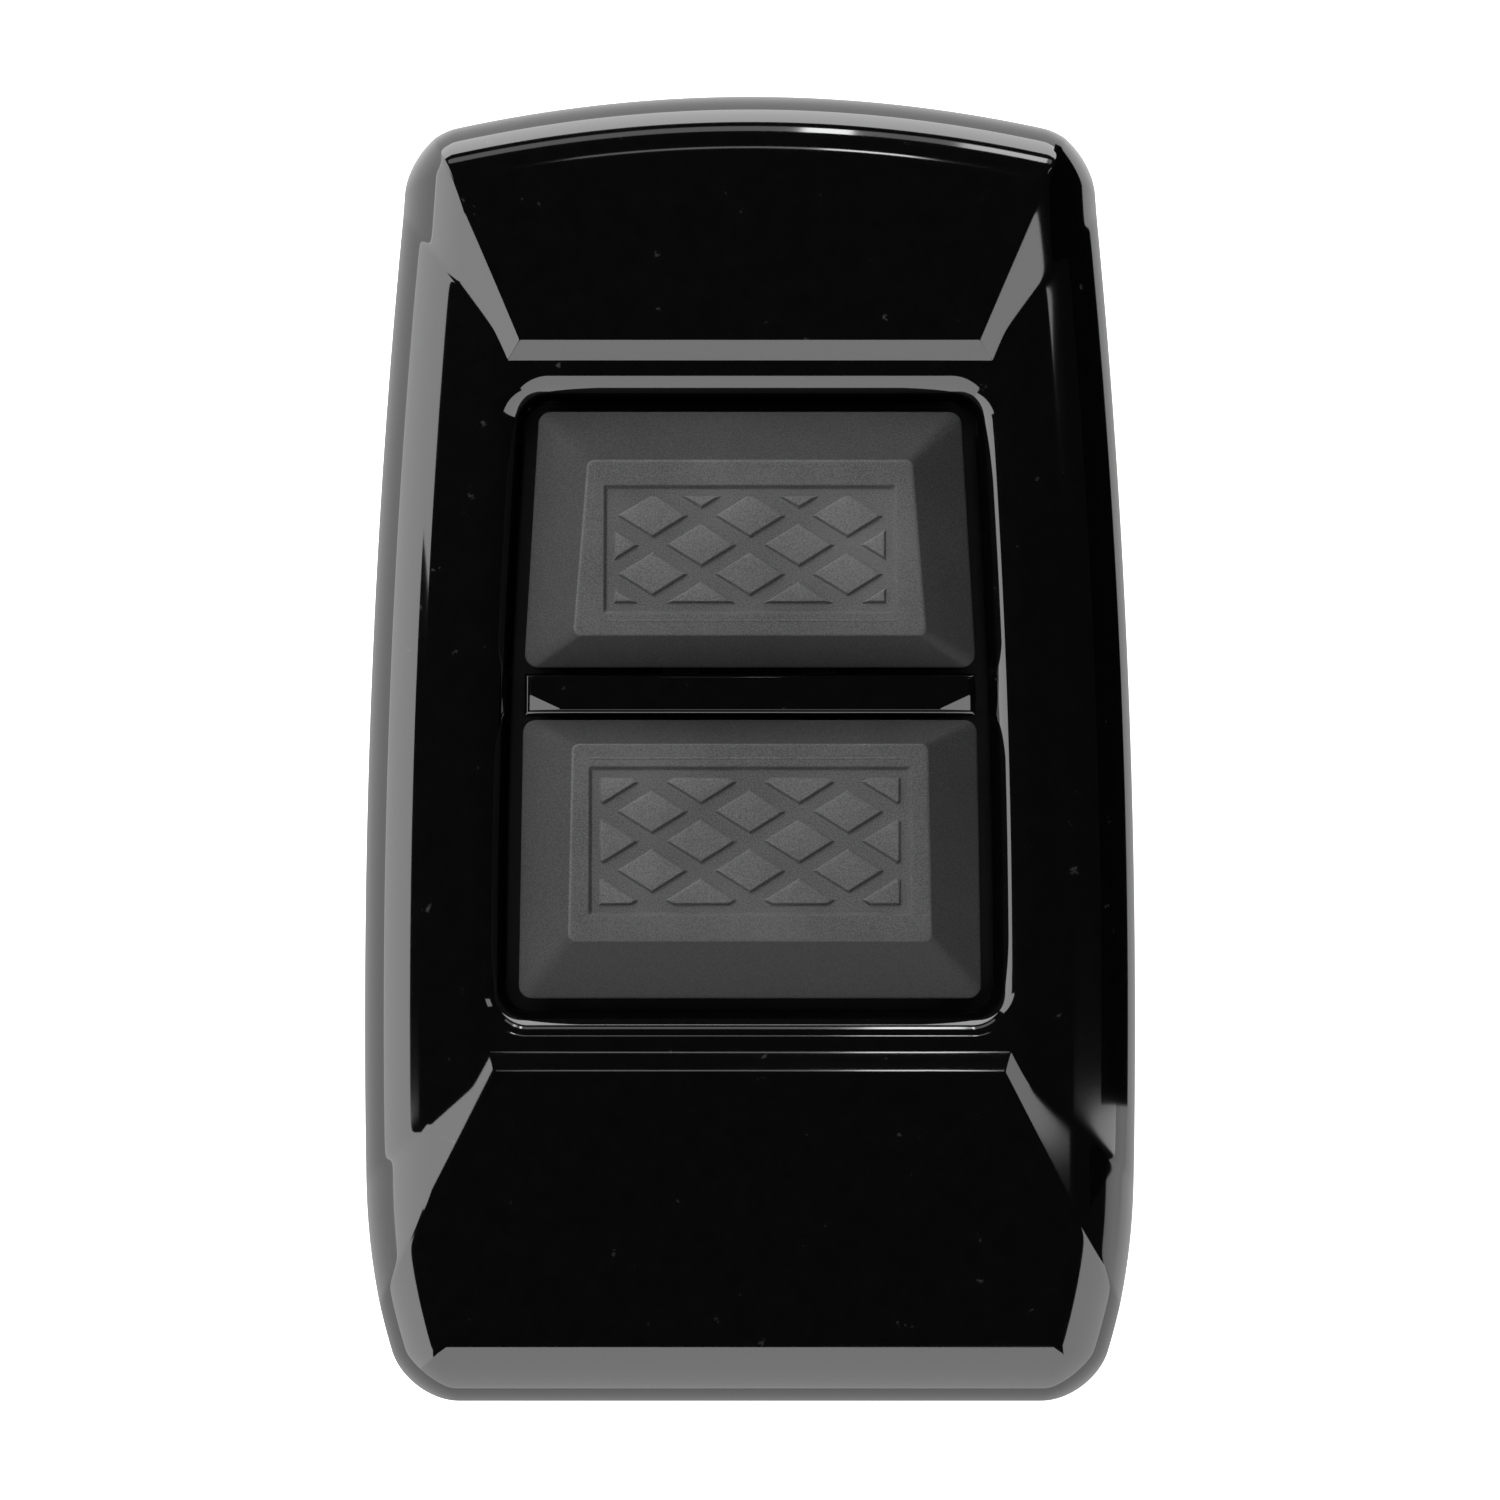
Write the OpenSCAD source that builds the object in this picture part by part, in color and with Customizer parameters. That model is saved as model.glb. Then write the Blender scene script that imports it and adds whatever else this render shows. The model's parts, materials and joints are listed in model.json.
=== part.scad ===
// Two-button wireless hand control, lying on its back.
// +Z points out of the face, +Y towards the arched end and +X to the right.
// The origin is on the surface it rests on, under the middle of the body.

/* [Body] */
// Overall length of the body, along Y
body_length = 71.8; // [66:0.5:90]
// Overall width of the body at its widest, along X
body_width = 42.3; // [40:0.5:52]
// How far the two end blocks stand above the rim of the button well
block_rise = 0.6; // [0.3:0.1:0.8]
// Radius of the rounded upper edge of the outer wall
wall_round = 4.4; // [3.6:0.1:4.6]
// Thickness of the outer side wall of the shell
shell_wall = 1.7; // [1.4:0.1:2]

/* [Button well] */
// Distance from the arched end to the well
well_from_top = 17.3; // [15:0.1:20]
// Distance from the flat end to the well
well_from_bottom = 21.1; // [20:0.1:24]
// Distance from the side of the body to the well wall
well_border = 7.9; // [7:0.1:8.6]
// Gap between a pad and the side wall of the well
side_gap = 0.7; // [0.6:0.05:1.4]
// Gap between a pad and the end wall of the well
end_gap = 0.6; // [0.5:0.05:1.4]

/* [Pads and hinge] */
// Gap between the two pads, which holds the hinge bar
bar_space = 2.9; // [2.6:0.1:4]
// Distance of the hinge bar from the middle of the well, towards the arched end
bar_offset = 0.525; // [-1:0.025:1]
// Thickness of a pad, from its base to its flat top
pad_t = 2.2; // [1.8:0.1:2.8]
// How far the pads stand above the rim of the well
pad_proud = 1.4; // [0.8:0.1:1.8]
// Thickness of the glossy carrier under each pad
carrier_t = 1.1; // [1:0.1:1.5]
// Width of the bevel along the outer edge of a pad
bevel_outer = 3.1; // [2:0.1:4]
// Width of the bevel along the sides of a pad
bevel_side = 2.85; // [2:0.1:4]
// Width of the bevel beside the hinge bar
bevel_inner = 1.55; // [1:0.05:2]
// Depth of the grip recess in a pad
recess_depth = 0.3; // [0.2:0.05:0.5]
// Diameter of the hinge pin
pin_d = 1.2; // [1:0.1:1.5]
// Travel of a switch plunger
switch_travel = 0.3; // [0.2:0.05:0.4]

/* [Inside] */
// Thickness of the base plate
base_t = 2.4; // [2.2:0.1:3]
// Diameter of the coin cell
cell_d = 20; // [16:0.5:20]
// Thickness of the coin cell
cell_t = 3.2; // [2:0.1:3.2]
// Thickness of the circuit board
board_t = 1; // [0.8:0.1:1.2]
// Diameter of the thread of the housing screws
screw_d = 1.6; // [1.4:0.1:2]

/* [Hidden] */
$fn = 48;

// Small overlap that joins two solids of one piece
join = 0.05;
// General clearance between separate pieces
gap = 0.1;

// Body outline: barrel sides, an arched top end and a flat bottom end
side_radius = 470;
side_middle = -11.45;
arch_radius = 74;
chin_taper_radius = 37;
chin_taper_start = -body_length / 2 + 12.4;
end_corner_r = 2.7;
edge_cut = 0.6;
base_inset = 0.35;
gasket_inset = 1;

// Levels, from the table upwards
gasket_t = 0.4;
shell_bottom = base_t + gasket_t;
lip_h = 1.6;
cell_z = base_t + 0.2;
board_z = cell_z + cell_t + 0.5;
board_top = board_z + board_t;
frame_z = board_top + gap;
frame_t = 0.6;
frame_top = frame_z + frame_t;
seal_t = 0.5;
well_bottom_z = frame_top + seal_t;
heel_gap = 0.05;
pin_r = pin_d / 2;
knuckle_r = pin_r + 0.35;
pin_z = frame_top + heel_gap + knuckle_r;
carrier_z = pin_z + knuckle_r + 0.15;
pad_base = carrier_z + carrier_t;
pad_height = pad_base + pad_t;
rim_height = pad_height - pad_proud;
block_z = rim_height + block_rise;
wall_top = rim_height - wall_round - 1.2;

// Relief of the face

side_fall = 0.2;
upper_slope = 0.55;
lower_slope = 0.3;
lower_side_slope = 0.42;
lower_drop = 0.2;
well_edge_r = 1.9;
well_corner_r = 1.2;
upper_step_in = 3.2;
lower_step_in = 3.5;
upper_step_half = 8.6;
lower_step_half = 7.4;
upper_flare = 0.42;
lower_flare = 0.51;
ceiling_drop = 2;
inside_gap = 0.2;
inside_low = 4.5;

// Well and pads
well_top = body_length / 2 - well_from_top;
well_low = -body_length / 2 + well_from_bottom;
bar_y = (well_top + well_low) / 2 + bar_offset;
pad_border = well_border + side_gap;
upper_pad_far = well_top - end_gap;
upper_pad_near = bar_y + bar_space / 2;
lower_pad_near = bar_y - bar_space / 2;
lower_pad_far = well_low + end_gap;
pad_corner_r = 0.7;
pad_land = 0.15;

// Grip pattern on the pads
recess_side = 0.85;
recess_outer = 1.3;
recess_inner = 1.2;
border_w = 0.55;
diamond_w = 3.85;
diamond_h = 2.4;
diamond_pitch_x = 5.3;
diamond_pitch_y = 1.6;
diamond_rise = recess_depth - 0.05;
upper_pattern_shift = 0.25;

// Hinge
running_fit = 0.05;
heel_length = 1.3;
lug_w = 2.4;
knuckle_w = 2;
knuckle_gap = 0.3;
upper_knuckle_x = lug_w / 2 + 1.6;
lower_knuckle_x = upper_knuckle_x + knuckle_w + knuckle_gap;
end_lug_x = lower_knuckle_x + knuckle_w + knuckle_gap;
end_lug_w = 1.5;
lug_inset = 0.15;
frame_border = 1.6;
pin_half = end_lug_x + end_lug_w;
bar_w = bar_space - 0.55;
bar_top = pad_base + 0.1;
bar_half = body_half(bar_y) - pad_border;

// Switches
switch_reach = 5.6;
switch_size = 4.4;
switch_h = 1.4;
leg_reach = 0.3;
leg_t = 0.15;
switch_floor = 0.3;
plunger_r = 1;
plunger_top = board_top + switch_h + 0.6;
nub_gap = 0.08;
nub_r = 1.2;

// Battery
cell_r = cell_d / 2;
cell_y = -body_length / 2 + 7.2 + cell_r;
holder_in_r = cell_r + 0.15;
holder_wall = 1.15;
door_half = holder_in_r + holder_wall + 0.2;
door_rail = 1.2;
door_ledge = 1.1;
door_flange = 0.45;
door_slot = 0.65;
door_fit = 0.15;
door_top_y = cell_y + holder_in_r + holder_wall + 1;

// Screws and bosses
boss_r = 2.1;
head_r = 1.9;
head_h = 0.9;
thread_fit = 0.02;
boss_drop = 2.6;
boss_hole_drop = 3.6;
screw_drop = 4.2;
screw_clearance = 0.2;
boss_top_y = body_length / 2 - 9.4;
boss_low_y = -body_length / 2 + 9.95;
boss_top_x = body_half(boss_top_y) - 5;
boss_low_x = body_half(boss_low_y) - 4.6;
board_screw_spots = [
    [10, boss_top_y], [-10, boss_top_y],
    [holder_in_r + 3.35, well_low - 3.75], [-holder_in_r - 3.35, well_low - 3.75]];
housing_screw_spots = [
    [boss_top_x, boss_top_y], [-boss_top_x, boss_top_y],
    [boss_low_x, boss_low_y], [-boss_low_x, boss_low_y]];
board_screw_r = 0.7;
board_boss_r = 1.5;
board_half = boss_low_x + 0.3;
board_end_half = boss_top_x - boss_r - 0.5;
board_top_y = body_length / 2 - 5;
board_low_y = -body_length / 2 + 5.5;

// Parts on the board
chip_y = bar_y + 3;
chip_size = 5;
chip_h = 0.8;
lead_pitch = 0.9;
crystal_x = 7;
passive_row_x = -9.5;
passive_row_y = bar_y + 9;
passive_stack_x = 8.5;
passive_stack_y = bar_y + 6.5;
antenna_half = 10;

// Half width of the body at a place along its length
function body_half(y) =
    body_width / 2 - pow(y - side_middle, 2) / (2 * side_radius)
    - pow(max(0, chin_taper_start - y), 2) / (2 * chin_taper_radius);

// Signed distance of a shape with two edges that meet in a round corner
function rounded(across, along, r) =
    min(max(across + r, along + r), 0) + norm([max(across + r, 0), max(along + r, 0)]) - r;

// Signed distance from the body outline, negative inside
function body_gap(x, y) =
    rounded(abs(x) - body_half(y),
        y > 0 ? y - body_length / 2 + x * x / (2 * arch_radius) : -y - body_length / 2,
        end_corner_r);

// Signed distance from the wall of the well, negative inside
function well_gap(x, y) =
    rounded(abs(x) - body_half(y) + well_border, max(y - well_top, well_low - y), well_corner_r);

// Distance along a ray from the middle of the well to an outline grown by the given amount
well_middle = (well_top + well_low) / 2;
function outline_gap(x, y, inner) = inner ? well_gap(x, y) : body_gap(x, y);
function reach(a, grow, inner, near, far, steps) =
    let (mid = (near + far) / 2)
    steps == 0 ? mid :
    outline_gap(mid * cos(a), well_middle + mid * sin(a), inner) > grow ?
        reach(a, grow, inner, near, mid, steps - 1) :
        reach(a, grow, inner, mid, far, steps - 1);

// Rays, close together where the outlines have their corners
function mirrored(list) = concat(list, [for (i = [len(list) - 1:-1:0]) 180 - list[i]]);
rays = mirrored(concat(
    [-88, -83, -78, -74, -70], [for (a = [-67:1.5:-43]) a], [for (a = [-40:8:40]) a],
    [for (a = [46:1.5:64]) a], [68, 72, 77, 82, 88]));

// Outline of the body or of the well, grown by an amount (shrunk where it is negative)
function body_outline(grow) =
    [for (a = rays) let (r = reach(a, grow, false, 1, body_length, 26))
        [r * cos(a), well_middle + r * sin(a)]];
function well_outline(grow) =
    [for (a = rays) let (r = reach(a, grow, true, 1, body_length, 26))
        [r * cos(a), well_middle + r * sin(a)]];

// Smooth larger of two heights
function soft_max(a, b, k) = (a + b + sqrt((a - b) * (a - b) + k * k)) / 2;

// How far the slopes around an end block have dropped: its inner edge is straight and its sides flare
function block_drop(x, y, edge_y, side, half, flare, slope, side_slope) =
    let (inward = side * (edge_y - y))
    soft_max(0, max(slope * inward,
        side_slope * (abs(x) - half + flare * inward) / sqrt(1 + flare * flare)), 0.12);

// Height of the face without its rounded outer edge
function face_z(x, y) =
    let (
        waist = rim_height - side_fall * max(0, abs(x) - body_half(y) + well_border - well_edge_r),
        upper_z = block_z - block_drop(x, y, well_top + upper_step_in, 1,
            body_half(well_top) - upper_step_half + 1, upper_flare, upper_slope, upper_slope),
        lower_z = block_z - lower_drop - block_drop(x, y, well_low - lower_step_in, -1,
            body_half(well_low) - lower_step_half, lower_flare, lower_slope, lower_side_slope))
    soft_max(waist, max(upper_z, lower_z), 0.1);

// How far the rounded upper edge has dropped at a distance in from the outline
function edge_drop(inset) =
    let (reach = min(inset + edge_cut, wall_round))
    wall_round - sqrt(reach * (2 * wall_round - reach));

// Rings of the shell's surface, from the bottom outer edge over the face, down the well and
// back along the inside
function level_ring(outline, z) = [for (p = outline) [p[0], p[1], z]];
function wall_ring(inset) =
    [for (p = body_outline(-inset)) [p[0], p[1], face_z(p[0], p[1]) - edge_drop(inset)]];
function face_ring(share) =
    let (outer = body_outline(-wall_round), inner = well_outline(well_edge_r))
    [for (i = [0:len(rays) - 1])
        let (p = outer[i] * (1 - share) + inner[i] * share)
        [p[0], p[1], face_z(p[0], p[1])]];
function edge_ring(grow, drop) =
    [for (p = well_outline(grow)) [p[0], p[1], face_z(p[0], p[1]) - drop]];

shell_rings = concat(
    [level_ring(body_outline(-0.4), shell_bottom), level_ring(body_outline(0), wall_top)],
    [for (share = [0, 0.06, 0.16, 0.31, 0.51, 0.74]) wall_ring(share * wall_round)],
    [for (share = [0, 0.3, 0.55, 0.75, 0.88, 1]) face_ring(share)],
    [edge_ring(0.95, 0.25), edge_ring(0.25, 0.95), edge_ring(0, 1.9)],
    [level_ring(well_outline(0), well_bottom_z),
        level_ring(well_outline(1.2), well_bottom_z),
        level_ring(well_outline(1.2), rim_height - ceiling_drop),
        level_ring(body_outline(-4.4), rim_height - ceiling_drop - 0.2),
        level_ring(body_outline(-shell_wall - 0.6), rim_height - ceiling_drop - 2.4),
        level_ring(body_outline(-shell_wall - inside_gap), inside_low),
        level_ring(body_outline(-shell_wall - inside_gap), shell_bottom)]);

// Closes a list of rings into a hollow frame
module ring_frame(rings) {
    n = len(rings[0]);
    m = len(rings);
    polyhedron(
        points = [for (ring = rings) for (p = ring) p],
        faces = [for (k = [0:m - 1]) for (i = [0:n - 1])
            let (a = k * n + i, b = k * n + (i + 1) % n,
                c = ((k + 1) % m) * n + (i + 1) % n, d = ((k + 1) % m) * n + i)
            each [[a, c, b], [a, d, c]]]);
}

module at_each(spots) {
    for (spot = spots) translate([spot[0], spot[1], 0]) children();
}

// A plate with the outline given, between two heights
module plate(outline, low, high) {
    translate([0, 0, low]) linear_extrude(high - low) polygon(outline);
}

// A band between two outlines
module band(outer, inner, low, high) {
    difference() {
        plate(outer, low, high);
        plate(inner, low - 1, high + 1);
    }
}

// A block centred on x and y, between two heights
module block(x, y, size_x, size_y, low, high) {
    translate([x - size_x / 2, y - size_y / 2, low]) cube([size_x, size_y, high - low]);
}

// A bar along X
module rod_x(x0, x1, y, z, r) {
    translate([x0, y, z]) rotate([0, 90, 0]) cylinder(h = x1 - x0, r = r);
}

module front_shell() {
    boss_low_z = base_t + 0.5;
    color([0.03, 0.03, 0.035]) difference() {
        union() {
            ring_frame(shell_rings);
            at_each(housing_screw_spots)
                translate([0, 0, boss_low_z])
                    cylinder(h = rim_height - boss_drop - boss_low_z, r = boss_r);
        }
        at_each(housing_screw_spots)
            translate([0, 0, boss_low_z - 1])
                cylinder(h = rim_height - boss_hole_drop - boss_low_z + 1, r = screw_d / 2 + thread_fit);
    }
}

module base_plate() {
    slot_z = door_ledge + door_slot;
    door_length = door_top_y + body_length / 2;
    color([0.07, 0.07, 0.075]) difference() {
        union() {
            plate(body_outline(-base_inset), 0, base_t);
            band(body_outline(-shell_wall - 0.4), body_outline(-shell_wall - 1.4),
                base_t - join, base_t + lip_h);
            at_each([[board_half - 2, 12], [2 - board_half, 12],
                    [board_half - 2, well_low + 11], [2 - board_half, well_low + 11]])
                translate([0, 0, base_t - join]) cylinder(h = board_z - base_t + join, r = 1.4);
        }
        // Way in for the door, with a ledge on each side that carries its rails
        block(0, door_top_y - door_length / 2 - 1, 2 * door_half, door_length + 2, -1, slot_z);
        block(0, door_top_y - door_length / 2 - 1, 2 * (door_half + door_rail), door_length + 2,
            door_ledge, slot_z);
        // Space for the cell and its holder
        block(0, (door_top_y + cell_y - holder_in_r - holder_wall - 0.5) / 2, 2 * door_half,
            door_top_y - cell_y + holder_in_r + holder_wall + 0.5, 1, base_t + 1);
        // Room around the shell's bosses where they pass the lip
        at_each(housing_screw_spots) {
            translate([0, 0, base_t]) cylinder(h = 4, r = boss_r + screw_clearance);
            translate([0, 0, -1]) cylinder(h = base_t + 2, r = screw_d / 2 + 0.25);
            translate([0, 0, -1]) cylinder(h = head_h + 1.3, r = head_r + screw_clearance);
        }
    }
}

module battery_door() {
    half = door_half - door_fit;
    far = -body_length / 2 + base_inset;
    near = door_top_y - door_fit;
    rail_z = door_ledge + gap;
    color([0.07, 0.07, 0.075]) difference() {
        union() {
            translate([-half, far, 0]) cube([2 * half, near - far, rail_z + door_flange]);
            translate([-half - door_rail, far + 0.6, rail_z])
                cube([2 * (half + door_rail), near - far - 0.6, door_flange]);
        }
        // Finger grooves near the outer end
        for (i = [0:4])
            translate([0, far + 3.5 + 1.4 * i, 0]) rod_x(-6, 6, 0, -0.25, 0.6);
    }
}

module body_gasket() {
    color([0.12, 0.12, 0.12])
        band(body_outline(-gasket_inset), body_outline(-shell_wall - 0.3), base_t, shell_bottom);
}

module screw(low, head_radius, head_height, r, length, drive_r) {
    difference() {
        union() {
            translate([0, 0, low]) cylinder(h = head_height, r = head_radius);
            translate([0, 0, low + head_height - join]) cylinder(h = length + join, r = r);
        }
        // Cross recess in the head
        for (turn = [0, 90]) rotate([0, 0, turn])
            block(0, 0, 2 * drive_r, 0.4, low - 1, low + head_height * 0.6);
    }
}

module housing_screws() {
    color("silver") at_each(housing_screw_spots)
        screw(0.3, head_r, head_h, screw_d / 2, rim_height - screw_drop - head_h, 1.2);
}

module hinge_frame() {
    color([0.05, 0.05, 0.055]) difference() {
        union() {
            plate(well_outline(frame_border), frame_z, frame_top);
            // Ears with bosses that the board is screwed to
            for (spot = board_screw_spots) {
                inner_y = spot[1] > 0 ? well_top : well_low;
                block(spot[0], (spot[1] + inner_y) / 2, 2 * board_boss_r,
                    abs(spot[1] - inner_y), frame_z, frame_top);
                translate([spot[0], spot[1], frame_z]) cylinder(h = 2, r = board_boss_r);
            }
            // Lugs that carry the pin and the bar
            for (lug = [[-lug_w / 2, lug_w], [end_lug_x, end_lug_w],
                    [-end_lug_x - end_lug_w, end_lug_w]])
                translate([lug[0], bar_y - bar_w / 2 + lug_inset, frame_top - join])
                    cube([lug[1], bar_w - 2 * lug_inset, carrier_z - frame_top + join]);
        }
        rod_x(-pin_half, pin_half, bar_y, pin_z, pin_r + 0.01);
        for (side = [-1, 1])
            block(0, bar_y + side * switch_reach, switch_size + 2 * leg_reach + 0.4,
                switch_size + 0.4, frame_z - 1, frame_top + 1);
        at_each(board_screw_spots) translate([0, 0, frame_z - 1])
            cylinder(h = 2.6, r = board_screw_r + thread_fit);
    }
}

module well_seal() {
    color([0.1, 0.1, 0.1])
        band(well_outline(1.1), well_outline(0.1), frame_top, well_bottom_z);
}

module hinge_pin() {
    color("silver") rod_x(-pin_half, pin_half, bar_y, pin_z, pin_r);
}

// Glossy bar between the pads, flat below and round on top
module centre_bar() {
    half_w = bar_w / 2;
    color([0.03, 0.03, 0.035]) intersection() {
        union() {
            rod_x(-bar_half, bar_half, bar_y, bar_top - half_w, half_w);
            block(0, bar_y, 2 * bar_half, bar_w, carrier_z - 1, bar_top - half_w);
        }
        block(0, bar_y, 2 * bar_half, bar_w, carrier_z, bar_top);
    }
}

// Outline of a pad or of its flat top: straight sides and ends, with an arc at each corner
function pad_outline(near, far, in_near, in_far, in_side, corner) =
    let (
        a = near + (far > near ? in_near : -in_near),
        b = far - (far > near ? in_far : -in_far),
        half_a = body_half(near) - pad_border - in_side,
        half_b = body_half(far) - pad_border - in_side,
        low = min(a, b), high = max(a, b),
        half_low = a < b ? half_a : half_b,
        half_high = a < b ? half_b : half_a,
        centres = [[half_low - corner, low + corner, -90], [half_high - corner, high - corner, 0],
            [corner - half_high, high - corner, 90], [corner - half_low, low + corner, 180]])
    [for (c = centres) for (t = [0:22.5:90])
        [c[0] + corner * cos(c[2] + t), c[1] + corner * sin(c[2] + t)]];

module pad_body(near, far) {
    base = pad_outline(near, far, 0, 0, 0, pad_corner_r);
    top = pad_outline(near, far, bevel_inner, bevel_outer, bevel_side, 0.25);
    n = len(base);
    points = concat(
        [for (p = base) [p[0], p[1], pad_base]],
        [for (p = base) [p[0], p[1], pad_base + pad_land]],
        [for (p = top) [p[0], p[1], pad_height]]);
    polyhedron(points = points, faces = concat(
        [[for (i = [0:n - 1]) i]],
        [for (k = [0:1]) for (i = [0:n - 1])
            let (a = k * n + i, b = k * n + (i + 1) % n)
            each [[a, a + n, b + n], [a, b + n, b]]],
        [[for (i = [n - 1:-1:0]) 2 * n + i]]));
}

// A pad: a bevelled block with a recess that holds raised diamonds
module pad(near, far, shift) {
    side = far > near ? 1 : -1;
    half = min(body_half(near), body_half(far)) - pad_border - bevel_side - recess_side;
    y0 = near + side * (bevel_inner + recess_inner);
    y1 = far - side * (bevel_outer + recess_outer);
    middle = (y0 + y1) / 2;
    length = abs(y1 - y0);
    floor_z = pad_height - recess_depth;
    difference() {
        pad_body(near, far);
        block(0, middle, 2 * half, length, floor_z, pad_height + 1);
    }
    intersection() {
        block(0, middle, 2 * (half - border_w), length - 2 * border_w, floor_z - join,
            floor_z + diamond_rise);
        for (row = [-2:2]) {
            columns = row % 2 == 0 ? [-1.5, -0.5, 0.5, 1.5] : [-1, 0, 1];
            for (column = columns)
                translate([column * diamond_pitch_x, middle + shift + row * diamond_pitch_y,
                    floor_z - join])
                    linear_extrude(diamond_rise + join)
                        polygon([[-diamond_w / 2, 0], [0, -diamond_h / 2],
                            [diamond_w / 2, 0], [0, diamond_h / 2]]);
        }
    }
}

module upper_pad() {
    color([0.36, 0.36, 0.36]) pad(upper_pad_near, upper_pad_far, upper_pattern_shift);
}

module lower_pad() {
    color([0.36, 0.36, 0.36]) pad(lower_pad_near, lower_pad_far, 0);
}

// A glossy carrier with two hinge arms, a nub over its switch and a heel that stops it rising
module carrier(near, far, knuckle_x) {
    side = far > near ? 1 : -1;
    arm_length = bar_space / 2 + 1.8;
    nub_y = bar_y + side * switch_reach;
    difference() {
        union() {
            plate(pad_outline(near, far, 0, 0, 0, pad_corner_r), carrier_z, pad_base);
            for (x = [knuckle_x, -knuckle_x - knuckle_w]) {
                middle_x = x + knuckle_w / 2;
                rod_x(x, x + knuckle_w, bar_y, pin_z, knuckle_r);
                block(middle_x, bar_y + side * arm_length / 2, knuckle_w, arm_length,
                    pin_z - 0.4, pin_z + knuckle_r - 0.1);
                block(middle_x, bar_y + side * (arm_length + bar_space / 2) / 2, knuckle_w,
                    arm_length - bar_space / 2, pin_z - 0.4, carrier_z + join);
                block(middle_x, bar_y - side * heel_length / 2, knuckle_w, heel_length,
                    frame_top + heel_gap, pin_z);
            }
            translate([0, nub_y, plunger_top + nub_gap])
                cylinder(h = carrier_z - plunger_top - nub_gap + join, r = nub_r);
        }
        rod_x(-pin_half, pin_half, bar_y, pin_z, pin_r + running_fit);
    }
}

module upper_carrier() {
    color([0.03, 0.03, 0.035]) carrier(upper_pad_near, upper_pad_far, upper_knuckle_x);
}

module lower_carrier() {
    color([0.03, 0.03, 0.035]) carrier(lower_pad_near, lower_pad_far, lower_knuckle_x);
}

// A tact switch body with a well for its plunger
module switch_body(side) {
    y = bar_y + side * switch_reach;
    color([0.2, 0.2, 0.2]) difference() {
        union() {
            block(0, y, switch_size, switch_size, board_top, board_top + switch_h);
            for (x = [-1, 1])
                block(x * switch_size / 2, y, 2 * leg_reach, 3, board_top, board_top + leg_t);
        }
        translate([0, y, board_top + switch_floor]) cylinder(h = switch_h, r = plunger_r + 0.1);
    }
}

module plunger(side) {
    y = bar_y + side * switch_reach;
    low = board_top + switch_floor + switch_travel + 0.1;
    color([0.6, 0.15, 0.12])
        translate([0, y, low]) cylinder(h = plunger_top - low, r = plunger_r);
}

module upper_switch() { switch_body(1); }
module lower_switch() { switch_body(-1); }
module upper_plunger() { plunger(1); }
module lower_plunger() { plunger(-1); }

module circuit_board() {
    color([0.05, 0.25, 0.12]) difference() {
        union() {
            block(0, (board_top_y + board_low_y) / 2, 2 * board_end_half,
                board_top_y - board_low_y, board_z, board_top);
            block(0, (boss_top_y + boss_low_y) / 2, 2 * board_half,
                boss_top_y - boss_low_y - 2 * boss_r - 1.4, board_z, board_top);
        }
        at_each(board_screw_spots) translate([0, 0, board_z - 1])
            cylinder(h = board_t + 2, r = board_screw_r + 0.2);
    }
}

module board_screws() {
    color("silver") at_each(board_screw_spots)
        screw(board_z - 0.8, 1.4, 0.8, board_screw_r, board_t + 1.4, 0.8);
}

module battery_holder() {
    outer_r = holder_in_r + holder_wall;
    color([0.09, 0.09, 0.09]) difference() {
        translate([0, cell_y, cell_z - 0.1]) cylinder(h = board_z - cell_z + 0.1, r = outer_r);
        translate([0, cell_y, cell_z - 1]) cylinder(h = board_z - cell_z + 2, r = holder_in_r);
        // Slot for the side contact
        block(holder_in_r, cell_y, 4, 5, cell_z - 1, board_z + 1);
    }
}

module coin_cell() {
    color("silver") union() {
        translate([0, cell_y, cell_z]) cylinder(h = cell_t - 0.3, r = cell_r);
        translate([0, cell_y, cell_z + cell_t - 0.3 - join])
            cylinder(h = 0.3 + join, r = cell_r - 1.2);
    }
}

module positive_contact() {
    color("gold") union() {
        block(cell_r + 0.15, cell_y, 0.3, 4, cell_z + 0.5, board_z);
        block(cell_r + 0.85, cell_y, 1.7, 4, board_z - 0.3, board_z);
    }
}

module negative_contact() {
    color("gold") union() {
        block(0, cell_y, 9, 4, board_z - 0.2, board_z);
        block(0, cell_y, 3, 3, board_z - 0.5, board_z - 0.15);
    }
}

module radio_module() {
    y = board_top_y - 5;
    color("silver") union() {
        block(0, y, 12, 7.8, board_top, board_top + 0.5);
        block(0, y, 11, 7, board_top + 0.5 - join, board_top + 1.7);
    }
}

module controller_chip() {
    color([0.1, 0.1, 0.1]) union() {
        block(0, chip_y, chip_size, chip_size, board_z - 0.1 - chip_h, board_z - 0.1);
        for (i = [-2:2]) for (side = [-1, 1])
            block(side * (chip_size / 2 + 0.3), chip_y + i * lead_pitch, 1.2, 0.35,
                board_z - 0.35, board_z);
    }
}

module crystal() {
    color("silver") block(crystal_x, chip_y, 3.2, 1.6, board_z - 0.8, board_z);
}

module board_passives() {
    color([0.6, 0.5, 0.35]) {
        for (i = [0:3])
            block(passive_row_x + i * 2.2, passive_row_y, 1.6, 0.8, board_z - 0.6, board_z);
        for (i = [0:2])
            block(passive_stack_x, passive_stack_y + i * 2, 1.6, 0.8, board_z - 0.6, board_z);
    }
}

module antenna() {
    y = board_top_y - 0.6;
    color("gold") union() {
        block(0, y, 2 * antenna_half, 0.8, board_top + 1, board_top + 1.3);
        for (x = [0.2, 3.2])
            block(x - antenna_half, y, 0.4, 0.8, board_top, board_top + 1.3);
    }
}

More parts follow.
